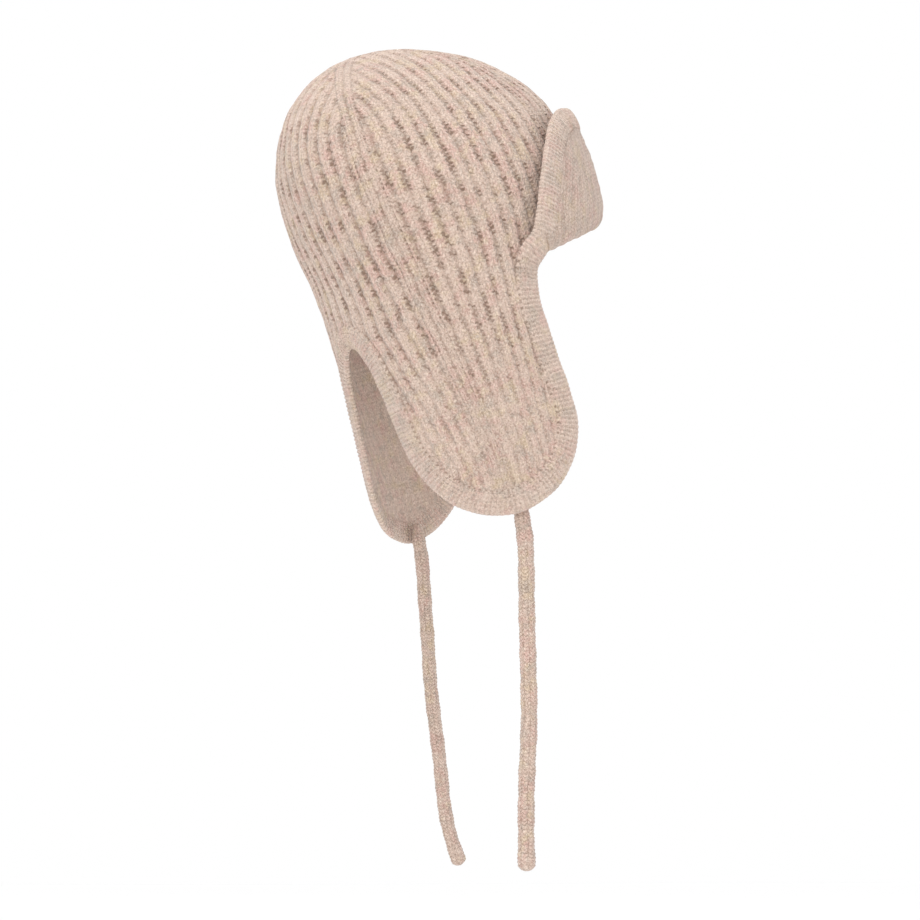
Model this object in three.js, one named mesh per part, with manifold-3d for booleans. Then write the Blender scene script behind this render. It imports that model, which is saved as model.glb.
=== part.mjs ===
// Knitted aviator hat: a rib-knitted hood with two ear flaps, a turned-up front peak,
// a knitted band round its whole edge and a tie cord on each flap.
// Millimetres, +Z up, front of the hat towards -Y, the wearer's right towards -X.
// The origin is the inside top of the crown, where a head holds the hat up.
import * as THREE from 'three';
import { mergeVertices } from 'three/addons/utils/BufferGeometryUtils.js';
import Module from 'manifold-3d';

const wasm = await Module();
wasm.setup();

const HALF_TURN = 180;
const DEGREE = Math.PI / HALF_TURN;

// Sizes of the hood. Depths run down the hat's own axis from the outside of the crown's top,
// and reaches run forwards and backwards from that axis.
const HALF_WIDTH = 86;
const FRONT_REACH = 117;
const BACK_REACH = 77;
const CROWN_DEPTH = 171; // to the temples, where the flaps begin
const BROW_LIFT = 13; // of the brow cut over the temples
const BROW_RISE = 16; // of the brow cut from the temples to the middle
const TEMPLE_REACH = 27.5; // of the temples in front of the hat's axis
const NAPE_DEPTH = 181; // to the edge at the back of the neck
const FLAP_DROP = 141; // from the temples to the end of the flaps
const FLAP_BREADTH = 55; // from a flap's lowest point to the band on its front edge
const FLAP_LOW_POINT = 38; // behind the hat's axis
const WALL = 3.5; // rib tops to the inside
const ROUNDNESS = 2.2; // exponent of the cross-sections, where 2 is an ellipse
const LEAN = 20 * DEGREE; // of the hat's axis, back from plumb

// Ribs of the hood
const SECTOR_RIBS = 14; // in each quarter between two lines of decreases
const RIB_RELIEF = 1.2; // depth of the furrows
const SHAPING_DEPTH = 48; // above this each quarter narrows to the top
const FLAP_GATHER = 0.2; // share that the ribs close up by at the end of a flap

// Edge band, front peak and tie cords
const BAND_WIDTH = 16.5;
const BAND_THICKNESS = 5.6;
const PEAK_HEIGHT = 77.5; // from the bottom of the fold to the top edge
const PEAK_WALL = 3.6;
const PEAK_STAND_OFF = 8.5; // middle of the peak's wall off the crown
const FOLD_DROP = 6.5; // of the fold under the brow cut
const CORD_WIDTH = 10.5;
const CORD_THICKNESS = 8;
const CORD_TWIST = 0.33; // how far the flat sides turn towards the back
const SEAM_GAP = 0.3;
const FOLD_END_CLEARANCE = 1.2;

// Fineness of the faceted surfaces
const SLOPE_STEP = 0.5; // either side of a point whose slope is taken
const FLAP_ROW_STEP = 15;
const INNER_COLUMNS = 40;
const INNER_ROWS = 16;
const INNER_CROWDING = 1.6; // rows of the inside lie closer towards the top
const BAND_STATIONS = 108;
const BAND_SIDES = 8;
const CORD_STEP = 20;
const CORD_SIDES = 8;
const PEAK_COLUMNS = 22;
const FOLD_STEPS = 6;
const RISE_STEPS = 4;
const CUT_STEPS = 30;
const CUT_MARGIN = 40; // of the cut-outs past the hood

// Cross-sections of the hood from the crown's top down. crown is a share of CROWN_DEPTH and
// flap a share of FLAP_DROP, which add up to the depth. side, front and back are shares of
// HALF_WIDTH, FRONT_REACH and BACK_REACH.
const SECTIONS = [
  { crown: 0.0, flap: 0.0, side: 0.0, front: 0.0, back: 0.0 },
  { crown: 0.035, flap: 0.0, side: 0.273, front: 0.32, back: 0.43 },
  { crown: 0.152, flap: 0.0, side: 0.57, front: 0.68, back: 0.78 },
  { crown: 0.351, flap: 0.0, side: 0.831, front: 0.94, back: 0.987 },
  { crown: 0.585, flap: 0.0, side: 0.977, front: 1.0, back: 1.0 },
  { crown: 0.819, flap: 0.0, side: 1.0, front: 0.987, back: 0.929 },
  { crown: 1.0, flap: 0.064, side: 0.994, front: 0.974, back: 0.929 },
  { crown: 1.0, flap: 0.42, side: 1.0, front: 0.97, back: 0.968 },
  { crown: 1.0, flap: 0.81, side: 1.012, front: 0.97, back: 1.026 },
  { crown: 1.0, flap: 1.24, side: 1.012, front: 0.97, back: 1.065 },
];

// Middle of the band seen from behind, from the nape to the flap's lowest point. apart is a
// share of that point's distance from the middle, below a share of its drop under the nape.
const BACK_EDGE = [
  { apart: 0.0, below: 0.0 },
  { apart: 0.17, below: 0.035 },
  { apart: 0.325, below: 0.165 },
  { apart: 0.387, below: 0.282 },
  { apart: 0.439, below: 0.419 },
  { apart: 0.484, below: 0.552 },
  { apart: 0.547, below: 0.676 },
  { apart: 0.681, below: 0.821 },
  { apart: 0.834, below: 0.93 },
  { apart: 1.0, below: 1.0 },
];

// Middle of the band seen from the side, from the flap's lowest point up to the temple.
// across is a share of FLAP_BREADTH, below a share of the drop from the temple.
const FRONT_EDGE = [
  { across: 0.306, below: 0.99 },
  { across: 0.618, below: 0.932 },
  { across: 0.84, below: 0.84 },
  { across: 0.972, below: 0.736 },
  { across: 1.009, below: 0.571 },
  { across: 0.997, below: 0.4 },
  { across: 1.002, below: 0.27 },
  { across: 0.997, below: 0.18 },
  { across: 1.075, below: 0.02 },
];

// Middle of the band on the peak. turn is in degrees from the front, up a share of PEAK_HEIGHT
// and stand a share of PEAK_STAND_OFF.
const PEAK_EDGE = [
  { turn: 77.4, up: 0.008, stand: 0.1 },
  { turn: 72.0, up: 0.127, stand: 0.85 },
  { turn: 69.8, up: 0.207, stand: 1.0 },
  { turn: 66.9, up: 0.33, stand: 1.0 },
  { turn: 63.3, up: 0.485, stand: 1.0 },
  { turn: 55.4, up: 0.722, stand: 1.0 },
  { turn: 48.4, up: 0.85, stand: 1.05 },
  { turn: 41, up: 0.893, stand: 1.05 },
  { turn: 25, up: 0.872, stand: 1.05 },
  { turn: 0, up: 0.852, stand: 1.05 },
];

// Row of that table where the peak's side edge ends and its top edge starts
const TOP_EDGE_START = 6;

// Tie cord routes, chosen by hand, from the seam inside the flap down to the free end
const RIGHT_CORD_ROUTE = [
  [-73.5, -78.5, -291],
  [-73.5, -79.1, -298],
  [-73.4, -80, -306],
  [-73.2, -81.4, -314],
  [-73, -82.3, -324],
  [-72.8, -82.7, -338],
  [-72.6, -82.9, -354],
  [-72.6, -83.2, -371],
  [-72.7, -83.6, -388],
  [-72.9, -83.9, -405],
  [-73, -84.1, -421],
  [-73, -83.8, -437],
  [-73, -82.9, -453],
  [-73, -82.1, -470],
  [-73, -81.8, -487],
  [-73, -81.8, -504],
  [-73, -82.1, -520],
];
const LEFT_CORD_ROUTE = [
  [70.5, -72, -291],
  [70.5, -73, -301],
  [70.7, -74.9, -311],
  [71, -76.2, -321],
  [71.2, -77.2, -333],
  [71.5, -78.3, -346],
  [71.7, -79.7, -361],
  [71.9, -80.9, -376],
  [72, -81.9, -391],
  [72, -83.6, -407],
  [72, -85.9, -424],
  [72, -88.3, -441],
  [72, -90.4, -458],
  [72, -92.3, -475],
  [72, -95.2, -490],
  [72, -99.2, -503],
  [72, -104.4, -516],
];

// Colours of the melange yarn
const OATMEAL = 0xc9b5a3;
const PALE_OATMEAL = 0xd2c0b0;
const YARN_ROUGHNESS = 0.95;

// Turns points and triangles into a closed solid whose faces look outwards.
function solidFrom(points, triangles) {
  let volume = 0;
  for (const [a, b, c] of triangles) {
    volume += points[a].dot(new THREE.Vector3().crossVectors(points[b], points[c]));
  }
  const outward = volume > 0 ? triangles : triangles.map(([a, b, c]) => [a, c, b]);
  const mesh = new wasm.Mesh({
    numProp: 3,
    vertProperties: new Float32Array(points.flatMap((point) => point.toArray())),
    triVerts: new Uint32Array(outward.flat()),
  });
  return new wasm.Manifold(mesh);
}

function solidFromGeometry(geometry) {
  geometry.deleteAttribute('normal');
  geometry.deleteAttribute('uv');
  const weldDistance = 1e-4;
  const merged = mergeVertices(geometry, weldDistance);
  const mesh = new wasm.Mesh({
    numProp: 3,
    vertProperties: merged.attributes.position.array,
    triVerts: new Uint32Array(merged.index.array),
  });
  return new wasm.Manifold(mesh);
}

function geometryFrom(solid) {
  const mesh = solid.getMesh();
  const geometry = new THREE.BufferGeometry();
  geometry.setAttribute('position', new THREE.BufferAttribute(mesh.vertProperties, 3));
  geometry.setIndex(new THREE.BufferAttribute(mesh.triVerts, 1));
  geometry.computeVertexNormals();
  return geometry;
}

function mix(a, b, share) {
  return a + (b - a) * share;
}

// Sections of the hood between the rows of the table
function catmullRom(before, start, end, after, share) {
  const bend = 2 * before - 5 * start + 4 * end - after;
  const twist = 3 * start - before - 3 * end + after;
  return 0.5 * (2 * start + (end - before) * share + bend * share ** 2 + twist * share ** 3);
}

function smoothSections() {
  const rows = SECTIONS.map((row) => ({
    down: row.crown * CROWN_DEPTH + row.flap * FLAP_DROP,
    side: row.side * HALF_WIDTH,
    front: row.front * FRONT_REACH,
    back: row.back * BACK_REACH,
  }));
  const [, second] = rows;
  const beyondTop = { down: second.down, side: -second.side, front: -second.front, back: -second.back };
  const last = rows[rows.length - 1];
  const previous = rows[rows.length - 2];
  const stepsPerRow = 60;
  const sections = [];
  for (let i = 0; i < rows.length - 1; i += 1) {
    for (let step = 0; step < stepsPerRow; step += 1) {
      const section = {};
      for (const key of Object.keys(last)) {
        const before = i > 0 ? rows[i - 1][key] : beyondTop[key];
        const after = i < rows.length - 2 ? rows[i + 2][key] : 2 * last[key] - previous[key];
        section[key] = catmullRom(before, rows[i][key], rows[i + 1][key], after, step / stepsPerRow);
      }
      sections.push(section);
    }
  }
  sections.push(last);
  return sections;
}

const SMOOTH_SECTIONS = smoothSections();

function sectionWhere(key, value) {
  const after = SMOOTH_SECTIONS.findIndex((section) => section[key] >= value);
  const upper = SMOOTH_SECTIONS[Math.max(after - 1, 0)];
  const lower = SMOOTH_SECTIONS[after < 0 ? SMOOTH_SECTIONS.length - 1 : after];
  const span = lower[key] - upper[key];
  const share = span > 0 ? Math.min((value - upper[key]) / span, 1) : 0;
  const section = {};
  for (const name of Object.keys(upper)) {
    section[name] = mix(upper[name], lower[name], share);
  }
  return section;
}

// A point of the smooth hood. turn is in degrees from the front towards the wearer's right.
function hoodPoint(turn, down) {
  const { side, front, back } = sectionWhere('down', down);
  const cos = Math.cos(turn * DEGREE);
  const sin = Math.sin(turn * DEGREE);
  const reach = (Math.abs(cos) ** ROUNDNESS + Math.abs(sin) ** ROUNDNESS) ** (-1 / ROUNDNESS);
  return new THREE.Vector3(-side * reach * sin, -(cos > 0 ? front : back) * reach * cos, WALL - down);
}

function hoodNormal(turn, down) {
  if (down < SLOPE_STEP) {
    return new THREE.Vector3(0, 0, 1);
  }
  const around = hoodPoint(turn + SLOPE_STEP, down).sub(hoodPoint(turn - SLOPE_STEP, down));
  const along = hoodPoint(turn, down + SLOPE_STEP).sub(hoodPoint(turn, down - SLOPE_STEP));
  return new THREE.Vector3().crossVectors(around, along).normalize();
}

function clothPoint(turn, down, lift) {
  return hoodPoint(turn, down).addScaledVector(hoodNormal(turn, down), lift);
}

// The turn and depth that a point near the hood lies at
function placeOf(point) {
  const down = WALL - point.z;
  const { side, front, back } = sectionWhere('down', down);
  const along = -point.y / (point.y < 0 ? front : back);
  return { turn: Math.atan2(-point.x / side, along) / DEGREE, down };
}

// The turn at each share of the way round half the girth, from the front to the back
function turnFinder(down) {
  const steps = 90;
  const lengths = [0];
  let last = hoodPoint(0, down);
  for (let step = 1; step <= steps; step += 1) {
    const point = hoodPoint((HALF_TURN * step) / steps, down);
    lengths.push(lengths[step - 1] + point.distanceTo(last));
    last = point;
  }
  return (share) => {
    const wanted = Math.min(Math.abs(share), 1) * lengths[steps];
    const after = Math.max(lengths.findIndex((length) => length >= wanted), 1);
    const part = (wanted - lengths[after - 1]) / (lengths[after] - lengths[after - 1]);
    return (Math.sign(share) * HALF_TURN * (after - 1 + part)) / steps;
  };
}

// Ribs draw together down each flap, towards its middle
function gathered(share, down) {
  const middle = 0.62;
  const spread = 0.36;
  const away = Math.abs(share) - middle;
  if (Math.abs(away) > spread || down < CROWN_DEPTH) {
    return share;
  }
  const pull = Math.min((down - CROWN_DEPTH) / FLAP_DROP, 1) * FLAP_GATHER;
  const shift = ((pull * spread) / Math.PI) * Math.sin((Math.PI * away) / spread);
  return share - Math.sign(share) * shift;
}

// Ribs of one level, in order round the hood from the back centre. Above the shaping depth
// each quarter keeps fewer ribs, and one rib runs down on each side of the line between them.
function ribRow(down, innerRibs) {
  const turnAt = turnFinder(down);
  const fullInner = SECTOR_RIBS / 2 - 1;
  const quarterRibs = innerRibs + 1;
  const row = [];
  for (const centre of [-0.5, 0, 0.5, 1]) {
    const marks = [];
    for (let rib = -innerRibs; rib <= innerRibs; rib += 0.5) {
      const sunk = Number.isInteger(rib) || Math.abs(rib) === innerRibs;
      marks.push({ rib, place: rib / quarterRibs, sunk });
    }
    marks.push({ rib: fullInner + 0.5, place: (innerRibs + 0.5) / quarterRibs, sunk: false });
    marks.push({ rib: fullInner + 1, place: 1, sunk: true });
    marks.unshift({ rib: -fullInner - 0.5, place: -(innerRibs + 0.5) / quarterRibs, sunk: false });
    for (const { rib, place, sunk } of marks) {
      let share = centre + place / 4;
      if (share > 1) {
        share -= 2;
      }
      const turn = turnAt(gathered(share, down));
      const point = clothPoint(turn, down, sunk ? -RIB_RELIEF : 0);
      row.push({ order: centre * 2 * SECTOR_RIBS + rib, point });
    }
  }
  return row;
}

function ribRows(bottom) {
  const rows = [[{ order: 0, point: clothPoint(0, 0, 0) }]];
  const fullInner = SECTOR_RIBS / 2 - 1;
  const fullSide = sectionWhere('down', SHAPING_DEPTH).side;
  for (let innerRibs = 0; innerRibs < fullInner; innerRibs += 0.5) {
    const level = sectionWhere('side', (fullSide * (innerRibs + 1)) / (fullInner + 1));
    rows.push(ribRow(level.down, innerRibs));
  }
  const levels = Math.ceil((bottom - SHAPING_DEPTH) / FLAP_ROW_STEP);
  for (let level = 0; level <= levels; level += 1) {
    rows.push(ribRow(mix(SHAPING_DEPTH, bottom, level / levels), fullInner));
  }
  return rows;
}

function smoothRows(bottom, lift) {
  const rows = [[{ order: 0, point: clothPoint(0, 0, lift) }]];
  for (let level = 1; level <= INNER_ROWS; level += 1) {
    const down = bottom * (level / INNER_ROWS) ** INNER_CROWDING;
    const turnAt = turnFinder(down);
    const row = [];
    for (let column = 0; column < INNER_COLUMNS; column += 1) {
      const share = (2 * column) / INNER_COLUMNS - 1;
      row.push({ order: column, point: clothPoint(turnAt(share), down, lift) });
    }
    rows.push(row);
  }
  return rows;
}

// Closes a stack of rings, the first of them a single point, with a flat bottom.
function domeFrom(rows, turnOrder) {
  const points = [];
  const triangles = [];
  const rings = rows.map((row) => row.map(({ order, point }) => {
    points.push(point);
    return { order, index: points.length - 1 };
  }));
  const markAt = (ring, i) => {
    const { order, index } = ring[i % ring.length];
    return { order: order + turnOrder * Math.floor(i / ring.length), index };
  };
  for (let level = 1; level < rings.length; level += 1) {
    const upper = rings[level - 1];
    const lower = rings[level];
    const upperSteps = upper.length > 1 ? upper.length : 0;
    let i = 0;
    let j = 0;
    while (i < upperSteps || j < lower.length) {
      const lowerIsNext = markAt(lower, j + 1).order <= markAt(upper, i + 1).order;
      if (i >= upperSteps || (j < lower.length && lowerIsNext)) {
        triangles.push([markAt(upper, i).index, markAt(lower, j).index, markAt(lower, j + 1).index]);
        j += 1;
      } else {
        triangles.push([markAt(upper, i).index, markAt(lower, j).index, markAt(upper, i + 1).index]);
        i += 1;
      }
    }
  }
  const rim = rings[rings.length - 1];
  points.push(new THREE.Vector3(0, 0, points[rim[0].index].z));
  for (let i = 0; i < rim.length; i += 1) {
    triangles.push([markAt(rim, i).index, points.length - 1, markAt(rim, i + 1).index]);
  }
  return solidFrom(points, triangles);
}

// Drops of the band's middle line, and the flap's lowest point on the hood
const BAND_DROP = FLAP_DROP - BAND_WIDTH / 2;
const LOW_DOWN = CROWN_DEPTH + BAND_DROP;
const NAPE_DOWN = NAPE_DEPTH - BAND_WIDTH / 2;

function sideAt(y, down) {
  const { side, front, back } = sectionWhere('down', down);
  const along = Math.abs(y) / (y < 0 ? front : back);
  return side * (1 - along ** ROUNDNESS) ** (1 / ROUNDNESS);
}

function backAt(x, down) {
  const { side, back } = sectionWhere('down', down);
  return back * (1 - Math.min(Math.abs(x) / side, 1) ** ROUNDNESS) ** (1 / ROUNDNESS);
}

const LOW_APART = sideAt(FLAP_LOW_POINT, LOW_DOWN);

const backEdge = BACK_EDGE.map(({ apart, below }) => ({
  x: -apart * LOW_APART,
  down: mix(NAPE_DOWN, LOW_DOWN, below),
}));

const frontEdge = FRONT_EDGE.map(({ across, below }) => ({
  y: FLAP_LOW_POINT - across * FLAP_BREADTH,
  down: CROWN_DEPTH + below * BAND_DROP,
}));

// The hood ends at a flat brow cut, lower at the temples, and the peak's fold hangs under it.
function browDown(y) {
  const share = (-TEMPLE_REACH - y) / (FRONT_REACH - TEMPLE_REACH);
  return CROWN_DEPTH - BROW_LIFT - BROW_RISE * share;
}

// The fold's two ends lie just in front of the band
const FOLD_TURN = PEAK_EDGE[0].turn - (BAND_WIDTH / 2 + SEAM_GAP) / (HALF_WIDTH * DEGREE);

function peakPoint(turn, up, lift) {
  const brow = browDown(hoodPoint(turn, CROWN_DEPTH - BROW_LIFT).y);
  return clothPoint(turn, brow + FOLD_DROP - up * PEAK_HEIGHT, lift);
}

// Middle line of the band, down the right side from the nape to the front and back up the left
function bandLine() {
  const middle = -WALL / 2;
  const right = [];
  for (const { x, down } of backEdge) {
    const { turn } = placeOf(new THREE.Vector3(x, backAt(x, down), WALL - down));
    right.push(clothPoint(turn, down, middle));
  }
  for (const { y, down } of frontEdge) {
    const { turn } = placeOf(new THREE.Vector3(-sideAt(y, down), y, WALL - down));
    right.push(clothPoint(turn, down, middle));
  }
  for (const { turn, up, stand } of PEAK_EDGE) {
    right.push(peakPoint(turn, up, stand * PEAK_STAND_OFF));
  }
  const left = right.slice(1, -1).reverse();
  const mirrored = left.map((point) => new THREE.Vector3(-point.x, point.y, point.z));
  return new THREE.CatmullRomCurve3([...right, ...mirrored], true);
}

// A bar of rounded section. Each station has its place, its running direction and the
// direction that its broad face looks in.
function sweptBar(stations, width, thickness, sides, closed) {
  const points = [];
  const triangles = [];
  const outsideFlats = 1 / Math.cos(Math.PI / sides);
  for (const { at, run, face } of stations) {
    const across = new THREE.Vector3().crossVectors(run, face).normalize();
    const out = new THREE.Vector3().crossVectors(across, run).normalize();
    for (let corner = 0; corner < sides; corner += 1) {
      const angle = ((corner + 0.5) * 2 * Math.PI) / sides;
      const point = at.clone();
      point.addScaledVector(across, (Math.cos(angle) * outsideFlats * width) / 2);
      point.addScaledVector(out, (Math.sin(angle) * outsideFlats * thickness) / 2);
      points.push(point);
    }
  }
  const lengths = closed ? stations.length : stations.length - 1;
  for (let i = 0; i < lengths; i += 1) {
    const start = i * sides;
    const end = ((i + 1) % stations.length) * sides;
    for (let corner = 0; corner < sides; corner += 1) {
      const next = (corner + 1) % sides;
      triangles.push([start + corner, start + next, end + next]);
      triangles.push([start + corner, end + next, end + corner]);
    }
  }
  if (!closed) {
    const last = points.length - sides;
    for (let corner = 1; corner < sides - 1; corner += 1) {
      triangles.push([0, corner + 1, corner]);
      triangles.push([last, last + corner, last + corner + 1]);
    }
  }
  return solidFrom(points, triangles);
}

function bandSolid(growth) {
  const line = bandLine();
  const stations = [];
  for (let i = 0; i < BAND_STATIONS; i += 1) {
    const at = line.getPointAt(i / BAND_STATIONS);
    const { turn, down } = placeOf(at);
    stations.push({ at, run: line.getTangentAt(i / BAND_STATIONS), face: hoodNormal(turn, down) });
  }
  return sweptBar(stations, BAND_WIDTH + 2 * growth, BAND_THICKNESS + 2 * growth, BAND_SIDES, true);
}

// Cut-outs for the face and the nape, each the outline of the edge seen square on
function outlineCut(outline, placement, depth) {
  const shape = new THREE.Shape(outline);
  const geometry = new THREE.ExtrudeGeometry(shape, { depth, bevelEnabled: false });
  geometry.applyMatrix4(placement);
  return solidFromGeometry(geometry);
}

function faceCut() {
  const low = { y: FLAP_LOW_POINT, down: LOW_DOWN };
  const last = frontEdge[frontEdge.length - 1];
  const marks = [low, ...frontEdge].map(({ y, down }) => new THREE.Vector2(y, WALL - down));
  const outline = new THREE.SplineCurve(marks).getPoints(CUT_STEPS);
  const foldEnd = hoodPoint(FOLD_TURN, CROWN_DEPTH - BROW_LIFT).y + FOLD_END_CLEARANCE;
  const bend = { along: 0.4, rise: BROW_LIFT / 4 };
  const ahead = -FRONT_REACH - CUT_MARGIN;
  const under = -LOW_DOWN - CUT_MARGIN;
  outline.push(new THREE.Vector2(mix(last.y, foldEnd, bend.along), WALL - CROWN_DEPTH + bend.rise));
  outline.push(new THREE.Vector2(foldEnd, WALL - browDown(foldEnd)));
  outline.push(new THREE.Vector2(ahead, WALL - browDown(ahead)));
  outline.push(new THREE.Vector2(ahead, under));
  outline.push(new THREE.Vector2(FLAP_LOW_POINT, under));
  const half = HALF_WIDTH + CUT_MARGIN;
  const sideways = new THREE.Matrix4().makeBasis(
    new THREE.Vector3(0, 1, 0),
    new THREE.Vector3(0, 0, 1),
    new THREE.Vector3(1, 0, 0),
  );
  return outlineCut(outline, sideways.setPosition(-half, 0, 0), 2 * half);
}

function napeCut() {
  const left = backEdge.slice(1).reverse();
  const arch = [
    ...left.map(({ x, down }) => new THREE.Vector2(-x, WALL - down)),
    ...backEdge.map(({ x, down }) => new THREE.Vector2(x, WALL - down)),
  ];
  const outline = new THREE.SplineCurve(arch).getPoints(2 * CUT_STEPS);
  const half = HALF_WIDTH + CUT_MARGIN;
  const under = -LOW_DOWN - CUT_MARGIN;
  outline.push(new THREE.Vector2(-half, WALL - LOW_DOWN));
  outline.push(new THREE.Vector2(-half, under));
  outline.push(new THREE.Vector2(half, under));
  outline.push(new THREE.Vector2(half, WALL - LOW_DOWN));
  const backwards = new THREE.Matrix4().makeBasis(
    new THREE.Vector3(1, 0, 0),
    new THREE.Vector3(0, 0, 1),
    new THREE.Vector3(0, -1, 0),
  );
  const behind = BACK_REACH + CUT_MARGIN;
  return outlineCut(outline, backwards.setPosition(0, behind, 0), behind - FLAP_LOW_POINT);
}

// Rib-knitted hood with its ear flaps
function crownShell() {
  const bottom = CROWN_DEPTH + FLAP_DROP + BAND_WIDTH;
  const outside = domeFrom(ribRows(bottom), 4 * SECTOR_RIBS);
  const inside = domeFrom(smoothRows(bottom + BAND_WIDTH, -WALL), INNER_COLUMNS);
  const hood = outside.subtract(inside);
  return hood.subtract(faceCut()).subtract(napeCut()).subtract(bandSolid(SEAM_GAP));
}

// Fold and rise of the peak, as lifts off the hood and distances under the brow cut
function peakProfile() {
  const root = -WALL / 2;
  const middle = (root + PEAK_STAND_OFF) / 2;
  const profile = [];
  for (let step = 0; step <= FOLD_STEPS; step += 1) {
    const angle = (Math.PI * step) / FOLD_STEPS;
    const lift = middle - (PEAK_STAND_OFF - middle) * Math.cos(angle);
    profile.push({ lift, below: (FOLD_DROP - PEAK_WALL / 2) * Math.sin(angle) });
  }
  return profile;
}

// The turn that the peak's side edge has reached at a share of its height
function edgeTurn(up) {
  const after = PEAK_EDGE.findIndex((mark) => mark.up >= up);
  if (after < 1 || after > TOP_EDGE_START) {
    return PEAK_EDGE[after === 0 ? 0 : TOP_EDGE_START].turn;
  }
  const below = PEAK_EDGE[after - 1];
  const above = PEAK_EDGE[after];
  return mix(below.turn, above.turn, (up - below.up) / (above.up - below.up));
}

// The height of the peak's top edge at a turn
function topUp(topTurns, turn) {
  const after = topTurns.findIndex((mark) => mark.turn >= Math.abs(turn));
  if (after < 1) {
    return after < 0 ? topTurns[topTurns.length - 1].up : topTurns[0].up;
  }
  const inner = topTurns[after - 1];
  const outer = topTurns[after];
  return mix(inner.up, outer.up, (Math.abs(turn) - inner.turn) / (outer.turn - inner.turn));
}

// Front peak: the hood's edge folded outwards at the brow and standing up against the crown
function frontPeak() {
  const fold = peakProfile();
  const foldUp = FOLD_DROP / PEAK_HEIGHT;
  const topTurns = PEAK_EDGE.slice(TOP_EDGE_START).reverse();
  const faces = { inner: [], outer: [] };

  const foldPoint = (column, step, offset) => {
    const before = fold[Math.max(step - 1, 0)];
    const after = fold[Math.min(step + 1, FOLD_STEPS)];
    const run = new THREE.Vector2(after.lift - before.lift, after.below - before.below).normalize();
    const lift = fold[step].lift + run.y * offset;
    const below = fold[step].below - run.x * offset;
    const turn = column * FOLD_TURN;
    const brow = browDown(hoodPoint(turn, CROWN_DEPTH - BROW_LIFT).y);
    const point = clothPoint(turn, brow + below, lift);
    if (step === 0) {
      point.z = WALL - browDown(point.y) - SEAM_GAP;
    }
    return point;
  };

  const risePoint = (column, step, offset) => {
    const share = step / RISE_STEPS;
    const lift = PEAK_STAND_OFF - offset;
    const guess = mix(foldUp, topUp(topTurns, column * topTurns[topTurns.length - 1].turn), share);
    const turn = column * edgeTurn(guess);
    const up = mix(foldUp, topUp(topTurns, turn), share);
    return peakPoint(turn, up, lift);
  };

  for (const [name, offset] of [['inner', PEAK_WALL / 2], ['outer', -PEAK_WALL / 2]]) {
    for (let step = 0; step <= FOLD_STEPS + RISE_STEPS; step += 1) {
      const row = [];
      for (let i = 0; i <= PEAK_COLUMNS; i += 1) {
        const column = (2 * i) / PEAK_COLUMNS - 1;
        const isFold = step <= FOLD_STEPS;
        row.push(isFold ? foldPoint(column, step, offset) : risePoint(column, step - FOLD_STEPS, offset));
      }
      faces[name].push(row);
    }
  }
  return sheetSolid(faces.inner, faces.outer).subtract(bandSolid(SEAM_GAP));
}

// Closes two matching grids of points, the two faces of a sheet, round their four sides.
function sheetSolid(inner, outer) {
  const rows = inner.length;
  const columns = inner[0].length;
  const points = [...inner.flat(), ...outer.flat()];
  const triangles = [];
  const innerAt = (row, column) => row * columns + column;
  const outerAt = (row, column) => rows * columns + innerAt(row, column);
  const quad = (a, b, c, d) => triangles.push([a, b, c], [a, c, d]);
  for (let i = 0; i < rows - 1; i += 1) {
    for (let j = 0; j < columns - 1; j += 1) {
      quad(innerAt(i, j), innerAt(i + 1, j), innerAt(i + 1, j + 1), innerAt(i, j + 1));
      quad(outerAt(i, j), outerAt(i, j + 1), outerAt(i + 1, j + 1), outerAt(i + 1, j));
    }
    quad(innerAt(i, 0), outerAt(i, 0), outerAt(i + 1, 0), innerAt(i + 1, 0));
    const end = columns - 1;
    quad(innerAt(i, end), innerAt(i + 1, end), outerAt(i + 1, end), outerAt(i, end));
  }
  for (let j = 0; j < columns - 1; j += 1) {
    quad(innerAt(0, j), innerAt(0, j + 1), outerAt(0, j + 1), outerAt(0, j));
    const end = rows - 1;
    quad(innerAt(end, j), outerAt(end, j), outerAt(end, j + 1), innerAt(end, j + 1));
  }
  return solidFrom(points, triangles);
}

// A tie cord hangs by its own weight with a flat side along the flap
function tieCord(route, outwards) {
  const curve = new THREE.CatmullRomCurve3(route.map(([x, y, z]) => new THREE.Vector3(x, y, z)));
  const steps = Math.round(curve.getLength() / CORD_STEP);
  const face = new THREE.Vector3(outwards, CORD_TWIST, 0).normalize();
  const stations = [];
  for (let step = 0; step <= steps; step += 1) {
    stations.push({ at: curve.getPointAt(step / steps), run: curve.getTangentAt(step / steps), face });
  }
  return sweptBar(stations, CORD_WIDTH, CORD_THICKNESS, CORD_SIDES, false);
}

function knitted(name, solid, color) {
  const yarn = new THREE.MeshStandardMaterial({ color, roughness: YARN_ROUGHNESS, metalness: 0 });
  const mesh = new THREE.Mesh(geometryFrom(solid), yarn);
  mesh.name = name;
  return mesh;
}

const worn = new THREE.Group();
worn.add(knitted('crown_shell', crownShell(), OATMEAL));
worn.add(knitted('front_peak', frontPeak(), PALE_OATMEAL));
worn.add(knitted('edge_band', bandSolid(0), PALE_OATMEAL));
worn.rotation.x = -LEAN;

const hat = new THREE.Group();
hat.add(worn);
hat.add(knitted('right_tie_cord', tieCord(RIGHT_CORD_ROUTE, -1), OATMEAL));
hat.add(knitted('left_tie_cord', tieCord(LEFT_CORD_ROUTE, 1), OATMEAL));

export default hat;
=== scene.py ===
import math

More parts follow.
